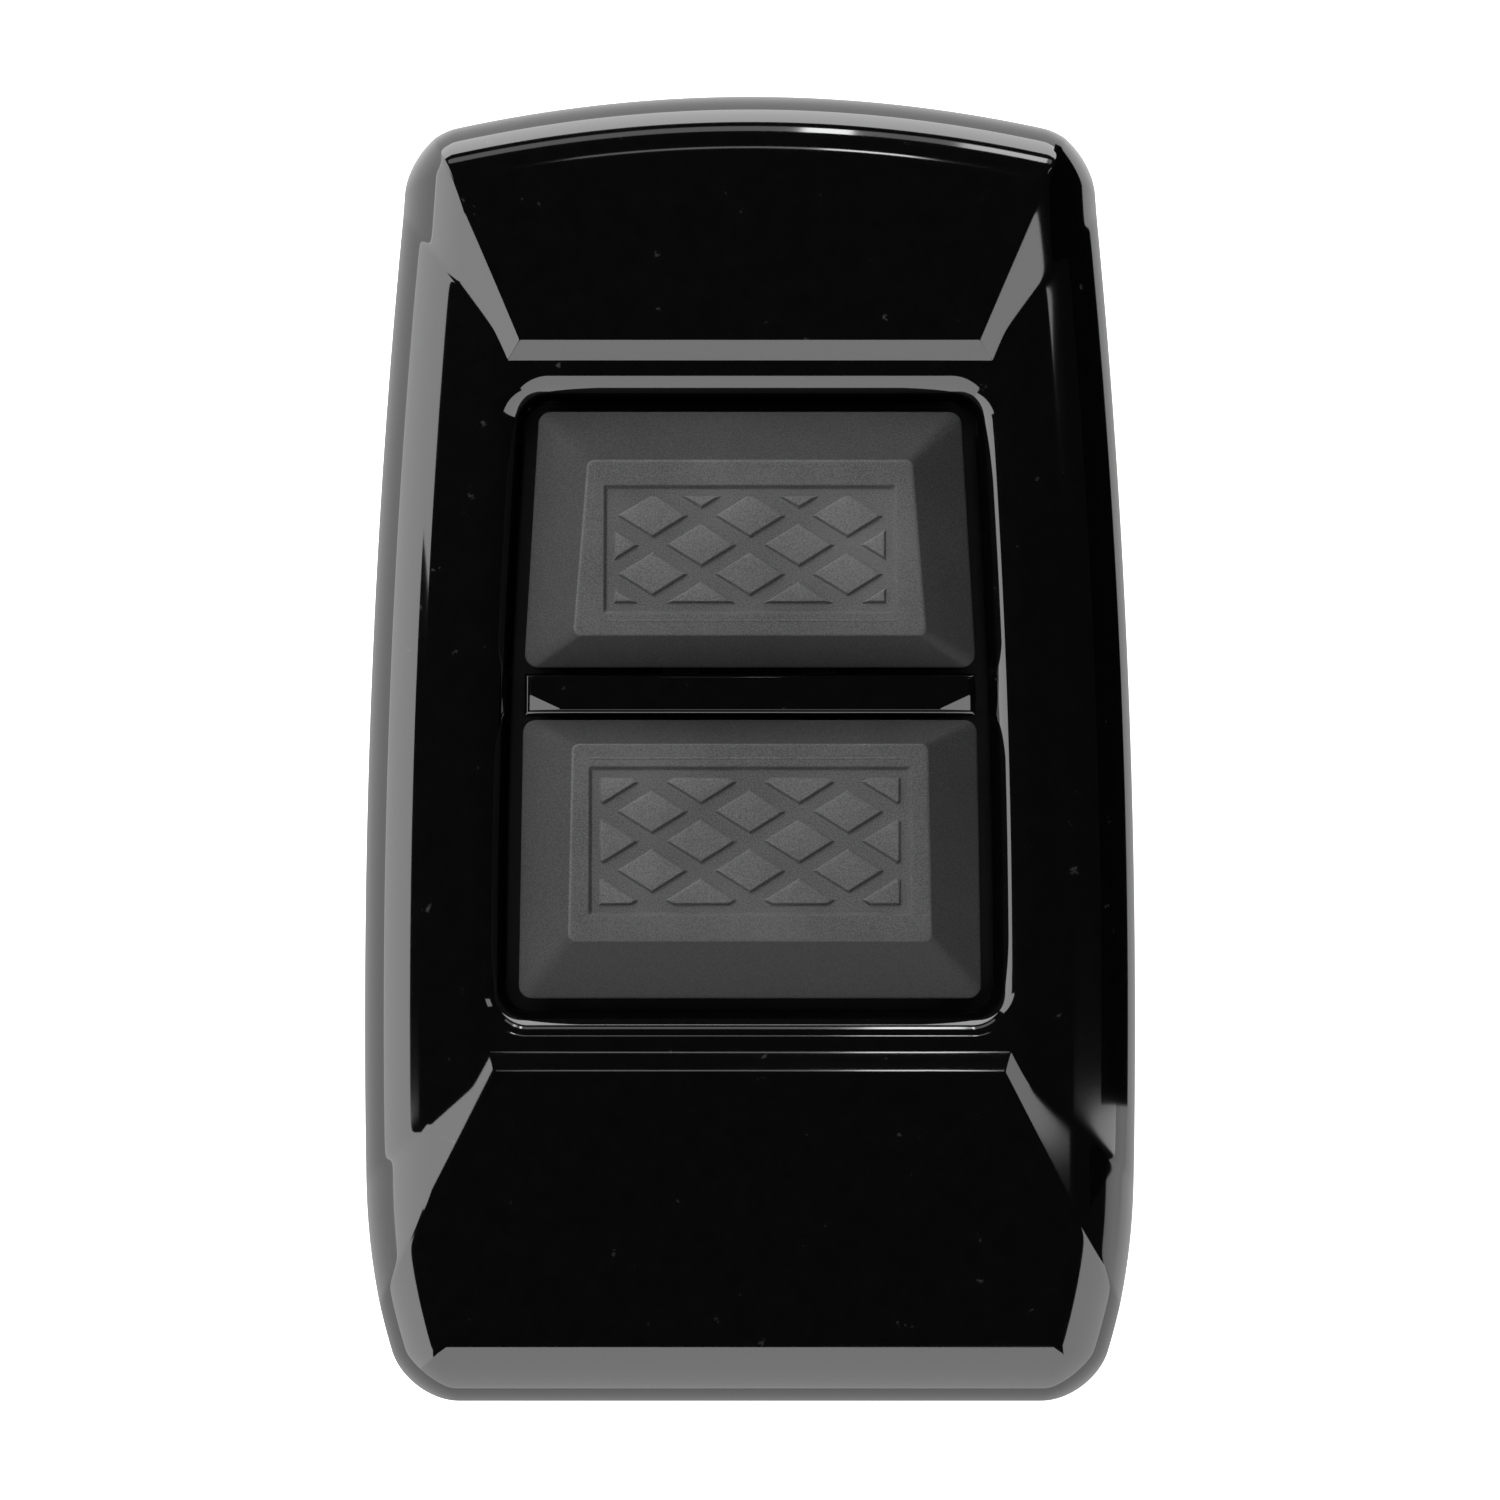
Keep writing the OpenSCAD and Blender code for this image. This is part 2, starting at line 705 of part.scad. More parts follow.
front_shell();
base_plate();
battery_door();
body_gasket();
housing_screws();
hinge_frame();
well_seal();
hinge_pin();
centre_bar();
upper_carrier();
lower_carrier();
upper_pad();
lower_pad();
upper_switch();
lower_switch();
upper_plunger();
lower_plunger();
circuit_board();
board_screws();
battery_holder();
coin_cell();
positive_contact();
negative_contact();
radio_module();
controller_chip();
crystal();
board_passives();
antenna();
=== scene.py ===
"""Looks of the two-button hand control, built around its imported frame."""
import json
import math

import bpy
import numpy as np
from mathutils import Matrix, Vector


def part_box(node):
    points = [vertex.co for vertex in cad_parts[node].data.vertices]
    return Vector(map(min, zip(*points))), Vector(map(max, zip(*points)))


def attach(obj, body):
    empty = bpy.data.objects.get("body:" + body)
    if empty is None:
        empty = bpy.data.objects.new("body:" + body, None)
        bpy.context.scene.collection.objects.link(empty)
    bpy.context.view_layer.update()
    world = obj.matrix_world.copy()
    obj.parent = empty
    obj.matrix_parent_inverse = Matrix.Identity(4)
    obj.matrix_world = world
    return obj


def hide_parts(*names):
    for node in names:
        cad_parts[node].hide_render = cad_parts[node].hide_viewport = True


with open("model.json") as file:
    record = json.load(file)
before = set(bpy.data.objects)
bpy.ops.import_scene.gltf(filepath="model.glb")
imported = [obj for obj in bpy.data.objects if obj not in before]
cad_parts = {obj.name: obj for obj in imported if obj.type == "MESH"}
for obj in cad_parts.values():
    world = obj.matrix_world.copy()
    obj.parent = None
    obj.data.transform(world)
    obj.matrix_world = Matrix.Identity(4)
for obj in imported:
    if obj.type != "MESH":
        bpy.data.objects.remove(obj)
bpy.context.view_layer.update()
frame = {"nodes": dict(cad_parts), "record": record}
MM = 0.001


# ---------------------------------------------------------------- sizes from the frame

def box_mm(node):
    low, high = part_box(node)
    return np.array(low) / MM, np.array(high) / MM


shell_low, shell_high = box_mm("front_shell")
upper_low, upper_high = box_mm("upper_pad")
lower_low, lower_high = box_mm("lower_pad")
bar_low, bar_high = box_mm("centre_bar")
seal_high = box_mm("well_seal")[1]

BODY_WIDTH = shell_high[0] - shell_low[0]
BODY_LENGTH = shell_high[1] - shell_low[1]
SHELL_BOTTOM = shell_low[2]
BLOCK_Z = shell_high[2]
BLOCK_RISE = 0.6
RIM_Z = BLOCK_Z - BLOCK_RISE
PAD_TOP = upper_high[2]
PAD_BASE = upper_low[2]
WELL_BOTTOM_Z = seal_high[2]
END_GAP = 0.6
WELL_TOP = upper_high[1] + END_GAP
WELL_LOW = lower_low[1] - END_GAP
WELL_MIDDLE = (WELL_TOP + WELL_LOW) / 2

# Body outline, as the frame has it
SIDE_RADIUS = 470
SIDE_MIDDLE = -11.45
ARCH_RADIUS = 74
CHIN_TAPER_RADIUS = 37
CHIN_TAPER_START = -BODY_LENGTH / 2 + 12.4
END_CORNER_R = 2.7
EDGE_CUT = 0.6
WALL_ROUND = 4.4
WALL_TOP = RIM_Z - WALL_ROUND - 1.2
INSIDE_LOW = 4.5
WELL_BORDER = 7.9
WELL_CORNER_R = 1.2
WELL_EDGE_R = 1.9
PAD_BORDER = 8.6

# Relief of the face
SIDE_FALL = 0.2
UPPER_SLOPE = 0.55
LOWER_SLOPE = 0.3
LOWER_SIDE_SLOPE = 0.42
LOWER_DROP = 0.2
UPPER_STEP_IN = 3.2
LOWER_STEP_IN = 3.5
UPPER_STEP_HALF = 8.6
LOWER_STEP_HALF = 7.4
UPPER_FLARE = 0.42
LOWER_FLARE = 0.51


def body_half(y):
    taper = np.maximum(0, CHIN_TAPER_START - y)
    return (BODY_WIDTH / 2 - (y - SIDE_MIDDLE) ** 2 / (2 * SIDE_RADIUS)
            - taper ** 2 / (2 * CHIN_TAPER_RADIUS))


def rounded(across, along, r):
    """Signed distance of two edges that meet in a round corner."""
    inner = np.minimum(np.maximum(across + r, along + r), 0)
    return inner + np.hypot(np.maximum(across + r, 0), np.maximum(along + r, 0)) - r


def body_gap(x, y):
    arch = y - BODY_LENGTH / 2 + x * x / (2 * ARCH_RADIUS)
    flat = -y - BODY_LENGTH / 2
    return rounded(np.abs(x) - body_half(y), np.where(y > 0, arch, flat), END_CORNER_R)


def well_gap(x, y):
    ends = np.maximum(y - WELL_TOP, WELL_LOW - y)
    return rounded(np.abs(x) - body_half(y) + WELL_BORDER, ends, WELL_CORNER_R)


def outline(gap, grow, angles):
    """Points on an outline grown by an amount, one on each ray from the middle of the well."""
    near = np.full(len(angles), 1.0)
    far = np.full(len(angles), BODY_LENGTH)
    cos, sin = np.cos(angles), np.sin(angles)
    for _ in range(44):
        mid = (near + far) / 2
        outside = gap(mid * cos, WELL_MIDDLE + mid * sin) > grow
        far = np.where(outside, mid, far)
        near = np.where(outside, near, mid)
    r = (near + far) / 2
    return np.stack([r * cos, WELL_MIDDLE + r * sin], axis=1)


def soft_max(a, b, k):
    return (a + b + np.sqrt((a - b) ** 2 + k * k)) / 2


def block_drop(x, y, edge_y, side, half, flare, slope, side_slope):
    """How far the slopes around an end block have dropped."""
    inward = side * (edge_y - y)
    sideways = (np.abs(x) - half + flare * inward) / math.hypot(1, flare)
    return soft_max(0, np.maximum(slope * inward, side_slope * sideways), 0.05)


def face_z(x, y):
    waist = RIM_Z - SIDE_FALL * soft_max(
        np.abs(x) - body_half(y) + WELL_BORDER - WELL_EDGE_R, 0, 0.3)
    upper_z = BLOCK_Z - block_drop(
        x, y, WELL_TOP + UPPER_STEP_IN, 1, body_half(WELL_TOP) - UPPER_STEP_HALF + 1,
        UPPER_FLARE, UPPER_SLOPE, UPPER_SLOPE)
    lower_z = BLOCK_Z - LOWER_DROP - block_drop(
        x, y, WELL_LOW - LOWER_STEP_IN, -1, body_half(WELL_LOW) - LOWER_STEP_HALF,
        LOWER_FLARE, LOWER_SLOPE, LOWER_SIDE_SLOPE)
    return soft_max(waist, np.maximum(upper_z, lower_z), 0.06)


def edge_drop(inset):
    """How far the rounded upper edge has dropped at a distance in from the outline."""
    reach = np.clip(inset + EDGE_CUT, 0, WALL_ROUND)
    return WALL_ROUND - np.sqrt(reach * (2 * WALL_ROUND - reach))


# ---------------------------------------------------------------- mesh helpers

def make_piece(name, verts_mm, faces, smooth=True):
    mesh = bpy.data.meshes.new(name)
    mesh.from_pydata((np.asarray(verts_mm) * MM).tolist(), [], faces)
    mesh.update()
    if smooth:
        mesh.polygons.foreach_set("use_smooth", [True] * len(mesh.polygons))
    piece = bpy.data.objects.new(name, mesh)
    bpy.context.scene.collection.objects.link(piece)
    return piece


def loop_faces(rings, points, closed):
    """Quads between rings of points; closed joins the last ring to the first."""
    faces = []
    for k in range(rings if closed else rings - 1):
        a = k * points
        b = ((k + 1) % rings) * points
        for i in range(points):
            j = (i + 1) % points
            faces.append((a + i, a + j, b + j, b + i))
    return faces


def level(points, z):
    return np.column_stack([points, np.full(len(points), z)])


# ---------------------------------------------------------------- materials

def new_material(name):
    material = bpy.data.materials.new(name)
    material.use_nodes = True
    nodes = material.node_tree.nodes
    shader = nodes["Principled BSDF"]
    return material, nodes, material.node_tree.links, shader


def add_noise(nodes, links, scale, detail=4, roughness=0.55):
    coords = nodes.new("ShaderNodeTexCoord")
    noise = nodes.new("ShaderNodeTexNoise")
    noise.inputs["Scale"].default_value = scale
    noise.inputs["Detail"].default_value = detail
    noise.inputs["Roughness"].default_value = roughness
    links.new(coords.outputs["Object"], noise.inputs["Vector"])
    return noise


def ramp(nodes, links, source, stops):
    node = nodes.new("ShaderNodeValToRGB")
    elements = node.color_ramp.elements
    while len(elements) < len(stops):
        elements.new(0.5)
    for element, (place, colour) in zip(elements, stops):
        element.position = place
        element.color = (*colour, 1)
    links.new(source, node.inputs["Fac"])
    return node


def map_range(nodes, links, source, low, high, to_low, to_high):
    node = nodes.new("ShaderNodeMapRange")
    node.inputs["From Min"].default_value = low
    node.inputs["From Max"].default_value = high
    node.inputs["To Min"].default_value = to_low
    node.inputs["To Max"].default_value = to_high
    links.new(source, node.inputs["Value"])
    return node


def add_bump(nodes, links, shader, height, strength, distance):
    bump = nodes.new("ShaderNodeBump")
    bump.inputs["Strength"].default_value = strength
    bump.inputs["Distance"].default_value = distance
    links.new(height, bump.inputs["Height"])
    links.new(bump.outputs["Normal"], shader.inputs["Normal"])
    return bump


def gloss_black():
    material, nodes, links, shader = new_material("gloss_black")
    shader.inputs["IOR"].default_value = 1.5
    fine = add_noise(nodes, links, 900, 5)
    colour = ramp(nodes, links, fine.outputs["Fac"],
                  [(0.3, (0.0016, 0.0016, 0.0017)), (0.7, (0.0026, 0.0026, 0.0027)),
                   (0.77, (0.06, 0.06, 0.06))])
    links.new(colour.outputs["Color"], shader.inputs["Base Color"])
    smears = add_noise(nodes, links, 60, 3)
    rough = map_range(nodes, links, smears.outputs["Fac"], 0.35, 0.75, 0.035, 0.075)
    links.new(rough.outputs["Result"], shader.inputs["Roughness"])
    wave = add_noise(nodes, links, 140, 2)
    add_bump(nodes, links, shader, wave.outputs["Fac"], 0.02, 0.0002)
    return material


def moulded(name, dark, light, roughness, grain_mm, depth_mm, painted_shade_share=1):
    """Matte moulded plastic with a fine spark-eroded grain; below a share of 1 it has painted shade
    on the bevels and a painted highlight on the diamonds.
    """
    material, nodes, links, shader = new_material(name)
    shader.inputs["IOR"].default_value = 1.46
    shader.inputs["Specular IOR Level"].default_value = 0.12 if painted_shade_share < 1 else 0.5
    grain = add_noise(nodes, links, 1 / (grain_mm * MM), 3, 0.6)
    cloud = add_noise(nodes, links, 120, 4)
    mix = nodes.new("ShaderNodeMix")
    mix.data_type = "FLOAT"
    mix.inputs["Factor"].default_value = 0.35
    links.new(grain.outputs["Fac"], mix.inputs["A"])
    links.new(cloud.outputs["Fac"], mix.inputs["B"])
    colour = ramp(nodes, links, mix.outputs["Result"], [(0.4, dark), (0.6, light)])
    # Painted light: a mesh attribute darkens the base colour on the bevels as painted shade and
    # lightens it on the diamonds as a painted highlight.
    if painted_shade_share < 1:
        painted_shade_and_highlight = nodes.new("ShaderNodeAttribute")
        painted_shade_and_highlight.attribute_name = "painted_shade_and_highlight"
        share = map_range(nodes, links, painted_shade_and_highlight.outputs["Fac"], 0, 2, painted_shade_share,
                          2 - painted_shade_share)
        painted_light_colour = nodes.new("ShaderNodeVectorMath")
        painted_light_colour.operation = "SCALE"
        links.new(colour.outputs["Color"], painted_light_colour.inputs[0])
        links.new(share.outputs["Result"], painted_light_colour.inputs["Scale"])
        links.new(painted_light_colour.outputs["Vector"], shader.inputs["Base Color"])
    else:
        links.new(colour.outputs["Color"], shader.inputs["Base Color"])
    rough = map_range(nodes, links, cloud.outputs["Fac"], 0.3, 0.7,
                      roughness - 0.05, roughness + 0.05)
    links.new(rough.outputs["Result"], shader.inputs["Roughness"])
    add_bump(nodes, links, shader, grain.outputs["Fac"], 0.6, depth_mm * MM)
    return material


def metal(name, dark, light, roughness):
    material, nodes, links, shader = new_material(name)
    shader.inputs["Metallic"].default_value = 1
    grain = add_noise(nodes, links, 2500, 4)
    colour = ramp(nodes, links, grain.outputs["Fac"], [(0.3, dark), (0.7, light)])
    links.new(colour.outputs["Color"], shader.inputs["Base Color"])
    rough = map_range(nodes, links, grain.outputs["Fac"], 0.3, 0.7,
                      roughness - 0.06, roughness + 0.06)
    links.new(rough.outputs["Result"], shader.inputs["Roughness"])
    add_bump(nodes, links, shader, grain.outputs["Fac"], 0.15, 0.00002)
    return material


# ---------------------------------------------------------------- camera, floor and lights

def look_at(thing, target):
    direction = Vector(target) - thing.location
    thing.rotation_euler = direction.to_track_quat("-Z", "Y").to_euler()


CAMERA_DISTANCE = 0.243
CAMERA_TILT = math.radians(5.5)
CAMERA_LENS = 105
CAMERA_TARGET_MM = (0, -0.25, 7)
FLOOR_HALF = 1.5
TENT = 0.5


def make_camera():
    data = bpy.data.cameras.new("camera")
    data.lens = CAMERA_LENS
    data.sensor_width = 36
    data.clip_start = 0.01
    camera = bpy.data.objects.new("camera", data)
    target = Vector(CAMERA_TARGET_MM) * MM
    camera.location = target + CAMERA_DISTANCE * Vector(
        (0, -math.sin(CAMERA_TILT), math.cos(CAMERA_TILT)))
    look_at(camera, target)
    bpy.context.scene.collection.objects.link(camera)
    bpy.context.scene.camera = camera


def make_floor():
    s = FLOOR_HALF
    verts = [(-s, -s, 0), (s, -s, 0), (s, s, 0), (-s, s, 0)]
    mesh = bpy.data.meshes.new("floor")
    mesh.from_pydata(verts, [], [(0, 1, 2, 3)])
    floor = bpy.data.objects.new("floor", mesh)
    bpy.context.scene.collection.objects.link(floor)
    material, nodes, links, shader = new_material("pale_floor")
    noise = add_noise(nodes, links, 40, 2)
    colour = ramp(nodes, links, noise.outputs["Fac"],
                  [(0, (0.74, 0.74, 0.74)), (1, (0.78, 0.78, 0.78))])
    links.new(colour.outputs["Color"], shader.inputs["Base Color"])
    shader.inputs["Roughness"].default_value = 0.9
    shader.inputs["Specular IOR Level"].default_value = 0.1
    shader.inputs["Emission Color"].default_value = (1, 1, 1, 1)
    shader.inputs["Emission Strength"].default_value = 1.6
    mesh.materials.append(material)


def make_flag():
    """Low black card on the right, outside the camera's view."""
    x, height = 0.0435, 0.02
    mesh = bpy.data.meshes.new("flag")
    mesh.from_pydata([(x, -0.02, 0), (x, 0.09, 0), (x, 0.09, height), (x, -0.02, height)],
                     [], [(0, 1, 2, 3)])
    flag = bpy.data.objects.new("flag", mesh)
    bpy.context.scene.collection.objects.link(flag)
    material, nodes, links, shader = new_material("flag_black")
    shader.inputs["Base Color"].default_value = (0.004, 0.004, 0.004, 1)
    shader.inputs["Roughness"].default_value = 1
    shader.inputs["Specular IOR Level"].default_value = 0
    mesh.materials.append(material)
    flag.visible_camera = False


def panel(name, corner, along, up, radiance):
    """A glowing rectangle from one corner along two edges, in metres."""
    corner, along, up = Vector(corner), Vector(along), Vector(up)
    data = bpy.data.lights.new(name, "AREA")
    data.shape = "RECTANGLE"
    data.size = along.length
    data.size_y = up.length
    data.energy = radiance * math.pi * along.length * up.length
    light = bpy.data.objects.new(name, data)
    middle = corner + (along + up) / 2
    normal = along.cross(up).normalized()
    if normal.dot(middle) < 0:
        normal = -normal
    side = along.normalized()
    light.matrix_world = Matrix.Translation(middle) @ Matrix(
        (side, normal.cross(side), normal)).transposed().to_4x4()
    light.visible_camera = False
    bpy.context.scene.collection.objects.link(light)
    return light


def make_lights():
    world = bpy.data.worlds.new("studio")
    world.use_nodes = True
    background = world.node_tree.nodes["Background"]
    background.inputs["Color"].default_value = (0.03, 0.03, 0.03, 1)
    background.inputs["Strength"].default_value = 1
    bpy.context.scene.world = world

    # A tent of walls at a distance of TENT on each side, for the gloss to reflect. The west
    # wall is lower beside the waist, and the east wall stops short of it.
    t = TENT
    mirrored = [
        panel("tent_south", (-t, -t, 0), (2 * t, 0, 0), (0, 0, 1.05), 4.1),
        panel("tent_east", (t, -t, 0), (0, 0.48, 0), (0, 0, 0.75), 4.1),
        panel("tent_corner", (0.464, 0.187, 0.35), (-0.045, 0.085, 0), (0, 0, 0.25), 3.5),
        panel("tent_west_near", (-t, -t, 0), (0, 0.48, 0), (0, 0, 0.53), 5),
        panel("tent_west", (-t, -0.02, 0), (0, 0.14, 0), (0, 0, 0.36), 5),
        panel("tent_west_far", (-t, 0.12, 0), (0, 0.38, 0), (0, 0, 0.53), 5),
        panel("tent_north", (-t, t, 0), (2 * t, 0, 0), (0, 0, 0.22), 7),
        # Bright lines along the arch and the edge of the well
        panel("lamp_strip", (-0.28, t, 0.3), (0.56, 0, 0), (0, 0, 0.1), 2),
        panel("lamp_near", (0.022, 0.49, 0.3), (0.022, 0, 0), (0, 0, 0.1), 18),
        panel("lamp_far", (0.09, 0.49, 0.3), (0.045, 0, 0), (0, 0, 0.1), 8),
        # Thin lines along the step of the lower block
        panel("step_strip", (-0.045, 0.24, 0.5), (0.09, 0, 0), (0, 0.025, 0), 2.5),
        panel("step_lamp", (0.018, 0.24, 0.498), (0.024, 0, 0), (0, 0.025, 0), 14),
    ]
    for light in mirrored:
        light.visible_diffuse = False

    # Soft light for the matte pads, which the gloss doesn't reflect
    soft = [
        panel("overhead", (-0.25, -0.25, 0.7), (0.5, 0, 0), (0, 0.5, 0), 0.5),
        panel("key", (-0.37, 0.267, 0.294), (0.246, 0.172, 0), (0.134, -0.191, 0.189), 6.3),
        panel("fill", (-0.45, -0.35, 0.2), (0, 0.6, 0), (0, 0, 0.25), 0.5),
    ]
    for light in soft:
        light.visible_glossy = False


# ---------------------------------------------------------------- front shell

def shell_rays():
    """Angles of the rays, close together where the outlines and the steps have corners."""
    grid = np.linspace(-math.pi / 2, 3 * math.pi / 2, 4001)
    bend = np.minimum(np.abs(grid), np.abs(math.pi - grid))
    density = 1 + 6 * np.exp(-((bend - math.radians(57)) / math.radians(8)) ** 2)
    total = np.concatenate([[0], np.cumsum((density[1:] + density[:-1]) / 2)])
    count = 900
    return np.interp(np.arange(count) / count * total[-1], total, grid)


def make_shell():
    angles = shell_rays()
    rings = []
    # Bottom edge and the side wall up to its widest level
    for inset, z in [(0.6, SHELL_BOTTOM), (0.45, SHELL_BOTTOM + 0.03), (0.35, SHELL_BOTTOM + 0.15)]:
        rings.append(level(outline(body_gap, -inset, angles), z))
    for share in np.linspace(0.15, 1, 8):
        z = SHELL_BOTTOM + share * (WALL_TOP - SHELL_BOTTOM)
        inset = 0.35 * (1 - (share - 0.15) / 0.85)
        rings.append(level(outline(body_gap, -inset, angles), z))
    # Rounded upper edge
    for turn in np.linspace(math.acos(1 - EDGE_CUT / WALL_ROUND), math.pi / 2, 80):
        inset = WALL_ROUND * (1 - math.cos(turn)) - EDGE_CUT
        ring = outline(body_gap, -inset, angles)
        z = face_z(ring[:, 0], ring[:, 1]) - edge_drop(inset)
        rings.append(np.column_stack([ring, z]))
    # Face, up to the edge of the well
    outer = outline(body_gap, EDGE_CUT - WALL_ROUND, angles)
    inner = outline(well_gap, WELL_EDGE_R, angles)
    for share in np.linspace(0, 1, 190)[1:]:
        ring = outer * (1 - share) + inner * share
        rings.append(np.column_stack([ring, face_z(ring[:, 0], ring[:, 1])]))
    # Rounded edge of the well, and its wall
    for turn in np.linspace(0, math.pi / 2, 40)[1:]:
        ring = outline(well_gap, WELL_EDGE_R * (1 - math.sin(turn)), angles)
        drop = WELL_EDGE_R * (1 - math.cos(turn))
        z = face_z(inner[:, 0], inner[:, 1]) - drop
        rings.append(np.column_stack([ring, z]))
    wall = outline(well_gap, 0, angles)
    rings.append(level(wall, WELL_BOTTOM_Z))
    rings.append(level(outline(well_gap, 1.2, angles), WELL_BOTTOM_Z))
    rings.append(level(outline(well_gap, 1.2, angles), RIM_Z - 2))
    rings.append(level(outline(body_gap, -4.4, angles), RIM_Z - 2.2))
    rings.append(level(outline(body_gap, -2.3, angles), RIM_Z - 4.4))
    rings.append(level(outline(body_gap, -1.9, angles), INSIDE_LOW))
    rings.append(level(outline(body_gap, -1.9, angles), SHELL_BOTTOM))
    piece = make_piece("shell_moulding", np.concatenate(rings),
                       loop_faces(len(rings), len(angles), True))
    piece.data.materials.append(gloss_black())
    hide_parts("front_shell")
    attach(piece, "housing")
    return piece


# ---------------------------------------------------------------- pads

def corner_outline(half_low, half_high, low, high, corner, steps=8):
    """A shape with straight sides and ends, and an arc at each corner."""
    centres = [(half_low - corner, low + corner, -90), (half_high - corner, high - corner, 0),
               (corner - half_high, high - corner, 90), (corner - half_low, low + corner, 180)]
    points = []
    for x, y, start in centres:
        turns = [math.radians(start + t) for t in np.linspace(0, 90, steps)]
        arc = [(x + corner * math.cos(a), y + corner * math.sin(a)) for a in turns]
        first, last = turns[0], turns[-1]
        points.append((arc[0][0] + 0.06 * math.sin(first), arc[0][1] - 0.06 * math.cos(first)))
        points.extend(arc)
        points.append((arc[-1][0] - 0.06 * math.sin(last), arc[-1][1] + 0.06 * math.cos(last)))
    return np.array(points)


def clip_polygon(points, x0, x1, y0, y1):
    """Cuts a convex outline to a rectangle."""
    for axis, limit, sign in [(0, x0, 1), (0, x1, -1), (1, y0, 1), (1, y1, -1)]:
        result = []
        for i, p in enumerate(points):
            q = points[(i + 1) % len(points)]
            inside_p = sign * (p[axis] - limit) >= 0
            inside_q = sign * (q[axis] - limit) >= 0
            if inside_p:
                result.append(p)
            if inside_p != inside_q:
                t = (limit - p[axis]) / (q[axis] - p[axis])
                result.append((p[0] + t * (q[0] - p[0]), p[1] + t * (q[1] - p[1])))
        points = result
        if len(points) < 3:
            return []
    return points


def inset_polygon(points, amount):
    """Moves each edge of a convex outline inwards."""
    n = len(points)
    lines = []
    for i in range(n):
        p, q = np.array(points[i]), np.array(points[(i + 1) % n])
        d = (q - p) / np.linalg.norm(q - p)
        lines.append((p + amount * np.array([-d[1], d[0]]), d))
    result = []
    for i in range(n):
        (p, d), (q, e) = lines[i - 1], lines[i]
        cross = d[0] * e[1] - d[1] * e[0]
        if abs(cross) < 1e-6:
            result.append(tuple(q))
            continue
        t = ((q - p)[0] * e[1] - (q - p)[1] * e[0]) / cross
        result.append(tuple(p + t * d))
    return result


def polygon_area(points):
    p = np.array(points)
    return 0.5 * np.sum(p[:, 0] * np.roll(p[:, 1], -1) - p[:, 1] * np.roll(p[:, 0], -1))


BEVEL_OUTER = 3.1
BEVEL_SIDE = 2.85
BEVEL_INNER = 1.55
RECESS_SIDE = 0.85
RECESS_OUTER = 1.3
RECESS_INNER = 1.2
RECESS_DEPTH = 0.28
BORDER = 0.55
DIAMOND_W = 3.85
DIAMOND_H = 2.4
DIAMOND_PITCH_X = 5.3
DIAMOND_PITCH_Y = 1.6
DIAMOND_RISE = 0.24
SMALLEST_DIAMOND = 0.15
LINE_AWAY = 0.45
LINE_HALF = 0.09
PAD_CORNER_R = 0.7
PAD_LAND = 0.15
BEVEL_RINGS = 9


